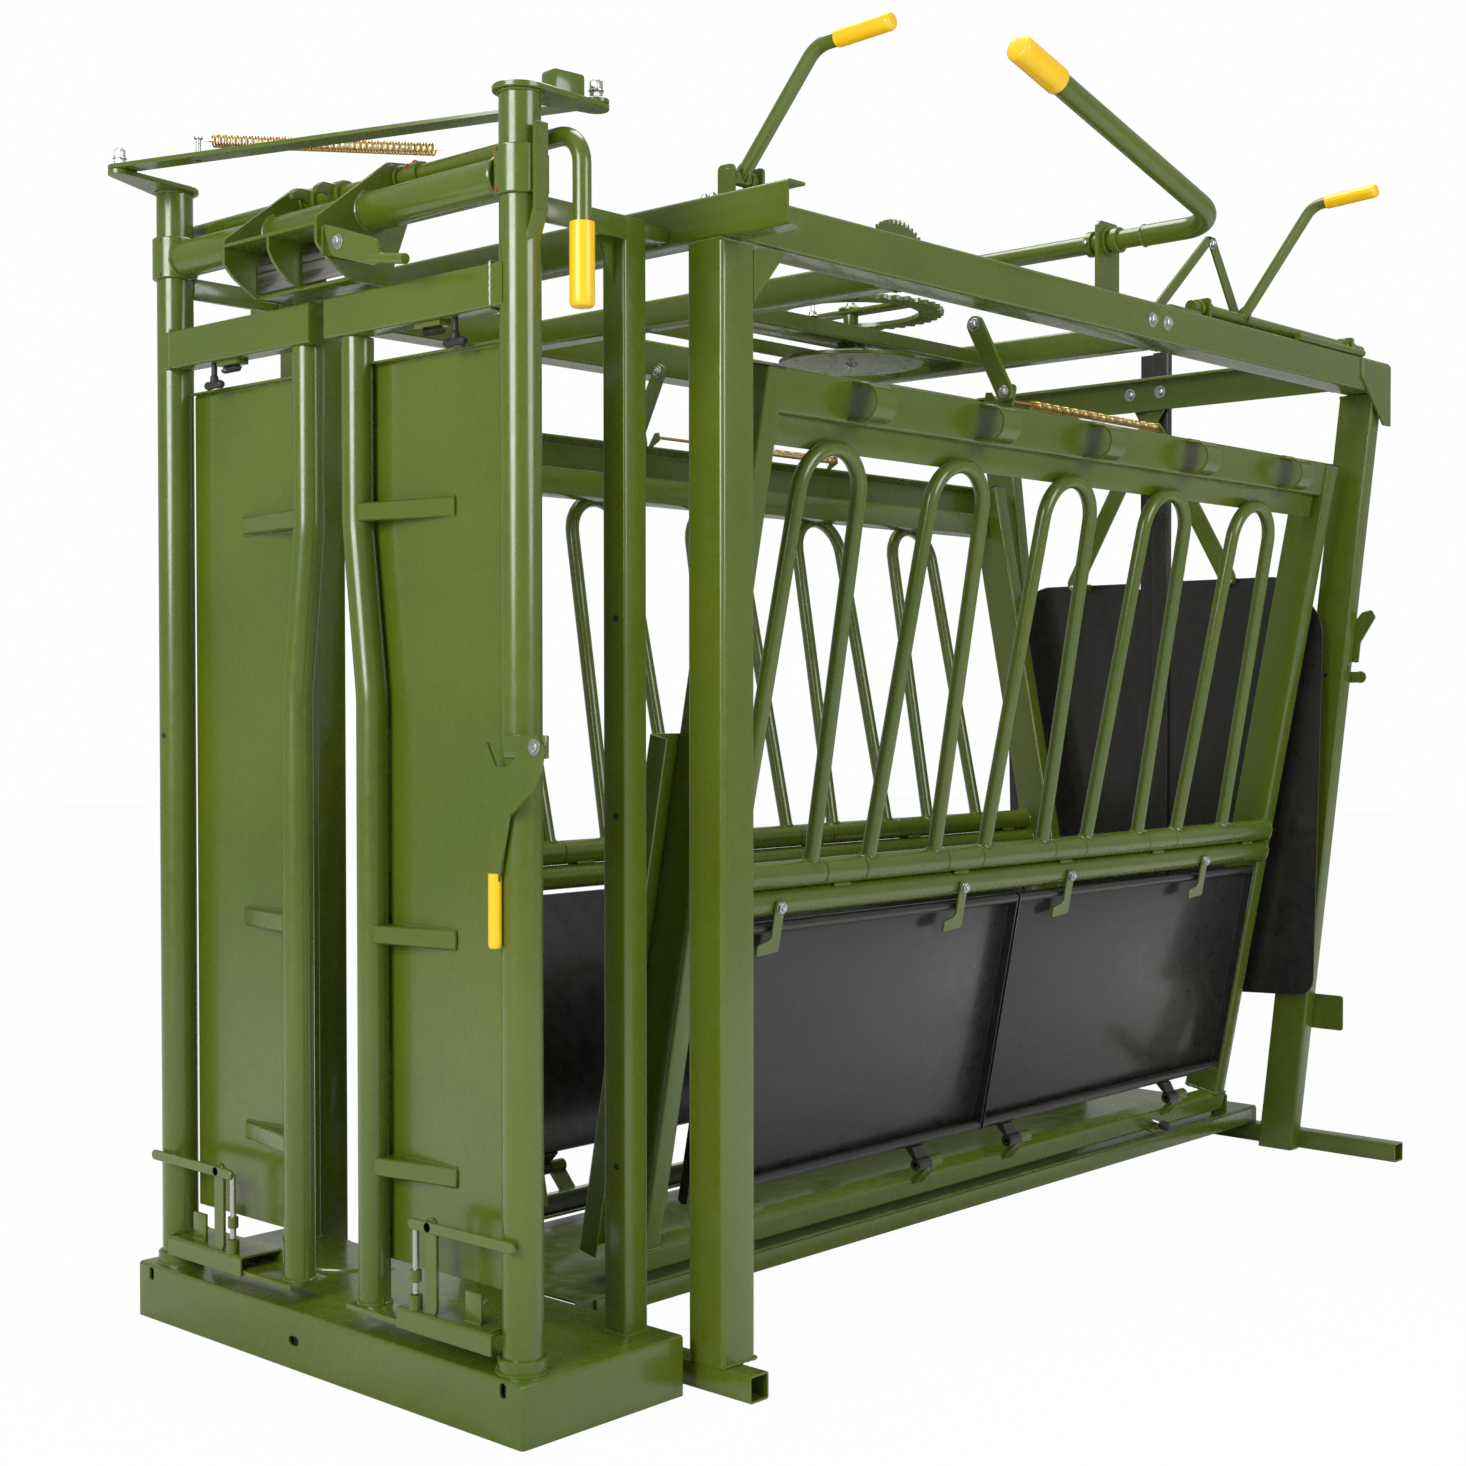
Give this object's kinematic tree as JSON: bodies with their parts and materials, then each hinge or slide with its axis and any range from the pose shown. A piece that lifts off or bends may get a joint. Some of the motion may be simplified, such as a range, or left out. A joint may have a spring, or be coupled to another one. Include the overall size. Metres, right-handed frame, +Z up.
{
  "type": "cattle crush",
  "caption": "Steel cattle crush with a swinging head gate, squeeze sides with drop bars and fold-down panels, and a split tail gate.",
  "frame": {"origin": "on the floor, on the centre line, under the front face of the head gate's pan", "axes": "+X to the side with the hand levers, +Y from the head gate to the tail gate, +Z up"},
  "size_m": [1.8067, 3.2726, 2.5792],
  "materials": {
    "green_paint": "gloss green paint over steel",
    "black_sheet": "satin black paint over steel sheet",
    "brass_wire": "yellow-plated spring wire",
    "dark_knob": "dull dark pull knob"
  },
  "bodies": {
    "frame": {"base_pan": "green_paint", "head_post_left": "green_paint", "head_post_right": "green_paint", "header_tube": "green_paint", "front_channel": "green_paint", "front_post_left": "green_paint", "front_post_right": "green_paint", "top_rail_left": "green_paint", "top_rail_right": "green_paint", "rear_post_left": "green_paint", "rear_post_right": "green_paint", "front_foot_tube": "green_paint", "rear_foot_tube": "green_paint", "rear_cross_beam": "green_paint", "gear_carrier": "green_paint", "floor_tray": "green_paint"},
    "door_right": {"door_post_right": "green_paint"},
    "leaf_right": {"door_leaf_right": "green_paint"},
    "knob_right": {"rail_knob_right": "dark_knob"},
    "lock_right": {"lock_lever_right": "green_paint"},
    "door_left": {"door_post_left": "green_paint"},
    "leaf_left": {"door_leaf_left": "green_paint"},
    "knob_left": {"rail_knob_left": "dark_knob"},
    "lock_left": {"lock_lever_left": "green_paint"},
    "door_link": {"door_link_bar": "green_paint", "door_spring": "brass_wire"},
    "hook": {"hook_lever": "green_paint"},
    "latch": {"latch_shaft": "green_paint"},
    "side_right": {"side_frame_right": "green_paint"},
    "bar_right_1": {"drop_bar_right_1": "green_paint"},
    "bar_right_2": {"drop_bar_right_2": "green_paint"},
    "bar_right_3": {"drop_bar_right_3": "green_paint"},
    "bar_right_4": {"drop_bar_right_4": "green_paint"},
    "bar_right_5": {"drop_bar_right_5": "green_paint"},
    "panel_right_front": {"side_panel_right_front": "black_sheet"},
    "panel_right_rear": {"side_panel_right_rear": "black_sheet"},
    "catch_right_1": {"panel_catch_right_1": "green_paint"},
    "catch_right_2": {"panel_catch_right_2": "green_paint"},
    "catch_right_3": {"panel_catch_right_3": "green_paint"},
    "catch_right_4": {"panel_catch_right_4": "green_paint"},
    "link_right": {"squeeze_link_right": "green_paint"},
    "side_left": {"side_frame_left": "green_paint"},
    "bar_left_1": {"drop_bar_left_1": "green_paint"},
    "bar_left_2": {"drop_bar_left_2": "green_paint"},
    "bar_left_3": {"drop_bar_left_3": "green_paint"},
    "bar_left_4": {"drop_bar_left_4": "green_paint"},
    "bar_left_5": {"drop_bar_left_5": "green_paint"},
    "panel_left_front": {"side_panel_left_front": "black_sheet"},
    "panel_left_rear": {"side_panel_left_rear": "black_sheet"},
    "catch_left_1": {"panel_catch_left_1": "green_paint"},
    "catch_left_2": {"panel_catch_left_2": "green_paint"},
    "catch_left_3": {"panel_catch_left_3": "green_paint"},
    "catch_left_4": {"panel_catch_left_4": "green_paint"},
    "link_left": {"squeeze_link_left": "green_paint"},
    "squeeze_shaft": {"squeeze_shaft": "green_paint"},
    "ring_gear": {"ring_gear": "green_paint"},
    "front_lever": {"front_lever": "green_paint"},
    "tail_gate_right": {"tail_gate_right": "black_sheet"},
    "tail_gate_left": {"tail_gate_left": "black_sheet"},
    "tail_handle": {"tail_gate_handle": "green_paint"}
  },
  "joints": [
    {"name": "door_right_swing", "type": "hinge", "parent": "frame", "child": "door_right", "pos_m": [0.53, 0.06, 1.2], "axis": [0, 0, 1], "range_deg": [0, 50]},
    {"name": "leaf_right_slide", "type": "slide", "parent": "door_right", "child": "leaf_right", "axis": [-1, 0, 0], "range_m": [0, 0.03]},
    {"name": "knob_right_pull", "type": "slide", "parent": "door_right", "child": "knob_right", "axis": [0, 0, -1], "range_m": [0, 0.02], "stiffness_N_per_m": 600, "springref_m": -0.01},
    {"name": "lock_right_lift", "type": "hinge", "parent": "door_right", "child": "lock_right", "pos_m": [0.33, 0.014, 0.335], "axis": [0, 1, 0], "range_deg": [0, 20]},
    {"name": "door_left_swing", "type": "hinge", "parent": "frame", "child": "door_left", "pos_m": [-0.53, 0.06, 1.2], "axis": [0, 0, 1], "range_deg": [-50, 0]},
    {"name": "leaf_left_slide", "type": "slide", "parent": "door_left", "child": "leaf_left", "axis": [1, 0, 0], "range_m": [0, 0.03]},
    {"name": "knob_left_pull", "type": "slide", "parent": "door_left", "child": "knob_left", "axis": [0, 0, -1], "range_m": [0, 0.02], "stiffness_N_per_m": 600, "springref_m": -0.01},
    {"name": "lock_left_lift", "type": "hinge", "parent": "door_left", "child": "lock_left", "pos_m": [-0.33, 0.014, 0.335], "axis": [0, -1, 0], "range_deg": [0, 20]},
    {"name": "door_link_pivot", "type": "hinge", "parent": "door_left", "child": "door_link", "pos_m": [-0.47901, -0.09692, 2.326], "axis": [0, 0, 1], "range_deg": [0, 48]},
    {"name": "hook_swing", "type": "hinge", "parent": "door_right", "child": "hook", "pos_m": [0.617, 0.014, 1.193], "axis": [0, -1, 0], "range_deg": [0, 90]},
    {"name": "latch_shaft_turn", "type": "hinge", "parent": "frame", "child": "latch", "pos_m": [0, 0.13, 2.245], "axis": [1, 0, 0], "range_deg": [-30, 30]},
    {"name": "squeeze_right", "type": "hinge", "parent": "frame", "child": "side_right", "pos_m": [0.235, 1.78, 0.13], "axis": [0, -1, 0], "range_deg": [0, 10]},
    {"name": "bar_right_1_drop", "type": "hinge", "parent": "side_right", "child": "bar_right_1", "pos_m": [0.39943, 0.86, 0.91301], "axis": [0, 1, 0], "range_deg": [0, 120]},
    {"name": "bar_right_2_drop", "type": "hinge", "parent": "side_right", "child": "bar_right_2", "pos_m": [0.39943, 1.2844, 0.91301], "axis": [0, 1, 0], "range_deg": [0, 120]},
    {"name": "bar_right_3_drop", "type": "hinge", "parent": "side_right", "child": "bar_right_3", "pos_m": [0.39943, 1.7088, 0.91301], "axis": [0, 1, 0], "range_deg": [0, 120]},
    {"name": "bar_right_4_drop", "type": "hinge", "parent": "side_right", "child": "bar_right_4", "pos_m": [0.39943, 2.1332, 0.91301], "axis": [0, 1, 0], "range_deg": [0, 120]},
    {"name": "bar_right_5_drop", "type": "hinge", "parent": "side_right", "child": "bar_right_5", "pos_m": [0.39943, 2.5576, 0.91301], "axis": [0, 1, 0], "range_deg": [0, 120]},
    {"name": "panel_right_front_fold", "type": "hinge", "parent": "side_right", "child": "panel_right_front", "pos_m": [0.30226, 1.2, 0.20352], "axis": [0, -1, 0], "range_deg": [-90, 0]},
    {"name": "panel_right_rear_fold", "type": "hinge", "parent": "side_right", "child": "panel_right_rear", "pos_m": [0.30226, 2.3, 0.20352], "axis": [0, -1, 0], "range_deg": [-90, 0]},
    {"name": "catch_right_1_turn", "type": "hinge", "parent": "side_right", "child": "catch_right_1", "pos_m": [0.41929, 0.86, 0.84854], "axis": [0.9816, 0, -0.1908], "range_deg": [0, 90]},
    {"name": "catch_right_2_turn", "type": "hinge", "parent": "side_right", "child": "catch_right_2", "pos_m": [0.41929, 1.49, 0.84854], "axis": [0.9816, 0, -0.1908], "range_deg": [0, 90]},
    {"name": "catch_right_3_turn", "type": "hinge", "parent": "side_right", "child": "catch_right_3", "pos_m": [0.41929, 1.925, 0.84854], "axis": [0.9816, 0, -0.1908], "range_deg": [0, 90]},
    {"name": "catch_right_4_turn", "type": "hinge", "parent": "side_right", "child": "catch_right_4", "pos_m": [0.41929, 2.56, 0.84854], "axis": [0.9816, 0, -0.1908], "range_deg": [0, 90]},
    {"name": "squeeze_link_right_turn", "type": "hinge", "parent": "side_right", "child": "link_right", "pos_m": [0.56937, 1.436, 1.94454], "axis": [0, 1, 0], "range_deg": [0, 33]},
    {"name": "squeeze_left", "type": "hinge", "parent": "frame", "child": "side_left", "pos_m": [-0.235, 1.78, 0.13], "axis": [0, 1, 0], "range_deg": [0, 10]},
    {"name": "bar_left_1_drop", "type": "hinge", "parent": "side_left", "child": "bar_left_1", "pos_m": [-0.39943, 0.86, 0.91301], "axis": [0, -1, 0], "range_deg": [0, 120]},
    {"name": "bar_left_2_drop", "type": "hinge", "parent": "side_left", "child": "bar_left_2", "pos_m": [-0.39943, 1.2844, 0.91301], "axis": [0, -1, 0], "range_deg": [0, 120]},
    {"name": "bar_left_3_drop", "type": "hinge", "parent": "side_left", "child": "bar_left_3", "pos_m": [-0.39943, 1.7088, 0.91301], "axis": [0, -1, 0], "range_deg": [0, 120]},
    {"name": "bar_left_4_drop", "type": "hinge", "parent": "side_left", "child": "bar_left_4", "pos_m": [-0.39943, 2.1332, 0.91301], "axis": [0, -1, 0], "range_deg": [0, 120]},
    {"name": "bar_left_5_drop", "type": "hinge", "parent": "side_left", "child": "bar_left_5", "pos_m": [-0.39943, 2.5576, 0.91301], "axis": [0, -1, 0], "range_deg": [0, 120]},
    {"name": "panel_left_front_fold", "type": "hinge", "parent": "side_left", "child": "panel_left_front", "pos_m": [-0.30226, 1.2, 0.20352], "axis": [0, 1, 0], "range_deg": [-90, 0]},
    {"name": "panel_left_rear_fold", "type": "hinge", "parent": "side_left", "child": "panel_left_rear", "pos_m": [-0.30226, 2.3, 0.20352], "axis": [0, 1, 0], "range_deg": [-90, 0]},
    {"name": "catch_left_1_turn", "type": "hinge", "parent": "side_left", "child": "catch_left_1", "pos_m": [-0.41929, 0.86, 0.84854], "axis": [0.9816, 0, 0.1908], "range_deg": [0, 90]},
    {"name": "catch_left_2_turn", "type": "hinge", "parent": "side_left", "child": "catch_left_2", "pos_m": [-0.41929, 1.49, 0.84854], "axis": [0.9816, 0, 0.1908], "range_deg": [0, 90]},
    {"name": "catch_left_3_turn", "type": "hinge", "parent": "side_left", "child": "catch_left_3", "pos_m": [-0.41929, 1.925, 0.84854], "axis": [0.9816, 0, 0.1908], "range_deg": [0, 90]},
    {"name": "catch_left_4_turn", "type": "hinge", "parent": "side_left", "child": "catch_left_4", "pos_m": [-0.41929, 2.56, 0.84854], "axis": [0.9816, 0, 0.1908], "range_deg": [0, 90]},
    {"name": "squeeze_link_left_turn", "type": "hinge", "parent": "side_left", "child": "link_left", "pos_m": [-0.56937, 1.436, 1.94454], "axis": [0, -1, 0], "range_deg": [0, 33]},
    {"name": "squeeze_shaft_turn", "type": "hinge", "parent": "frame", "child": "squeeze_shaft", "pos_m": [0, 1.78, 2.32], "axis": [1, 0, 0], "range_deg": [0, 60]},
    {"name": "ring_gear_turn", "type": "hinge", "parent": "frame", "child": "ring_gear", "pos_m": [0, 1.6, 2.15], "axis": [0, 0, 1], "range_deg": [0, 50]},
    {"name": "front_lever_swing", "type": "hinge", "parent": "frame", "child": "front_lever", "pos_m": [0.64, 0.5, 2.225], "axis": [0, -1, 0], "range_deg": [0, 60]},
    {"name": "tail_gate_right_swing", "type": "hinge", "parent": "frame", "child": "tail_gate_right", "pos_m": [-0.05, 3, 2.16], "axis": [0, -1, 0], "range_deg": [0, 33]},
    {"name": "tail_gate_left_swing", "type": "hinge", "parent": "frame", "child": "tail_gate_left", "pos_m": [0.05, 3, 2.16], "axis": [0, 1, 0], "range_deg": [0, 33]},
    {"name": "tail_handle_swing", "type": "hinge", "parent": "frame", "child": "tail_handle", "pos_m": [0.61, 2.4, 2.225], "axis": [0, -1, 0], "range_deg": [0, 35]}
  ],
  "couplings": [
    {"joint": "door_left_swing", "follows": "door_right_swing", "ratio": -1},
    {"joint": "door_link_pivot", "follows": "door_right_swing", "ratio": 0.95},
    {"joint": "squeeze_link_right_turn", "follows": "squeeze_right", "ratio": 3.3},
    {"joint": "squeeze_link_left_turn", "follows": "squeeze_right", "ratio": 3.3},
    {"joint": "squeeze_left", "follows": "squeeze_right", "ratio": 1},
    {"joint": "squeeze_shaft_turn", "follows": "squeeze_right", "ratio": 6},
    {"joint": "ring_gear_turn", "follows": "squeeze_right", "ratio": 5},
    {"joint": "tail_gate_left_swing", "follows": "tail_gate_right_swing", "ratio": 1},
    {"joint": "tail_handle_swing", "follows": "tail_gate_right_swing", "ratio": 1.05}
  ]
}
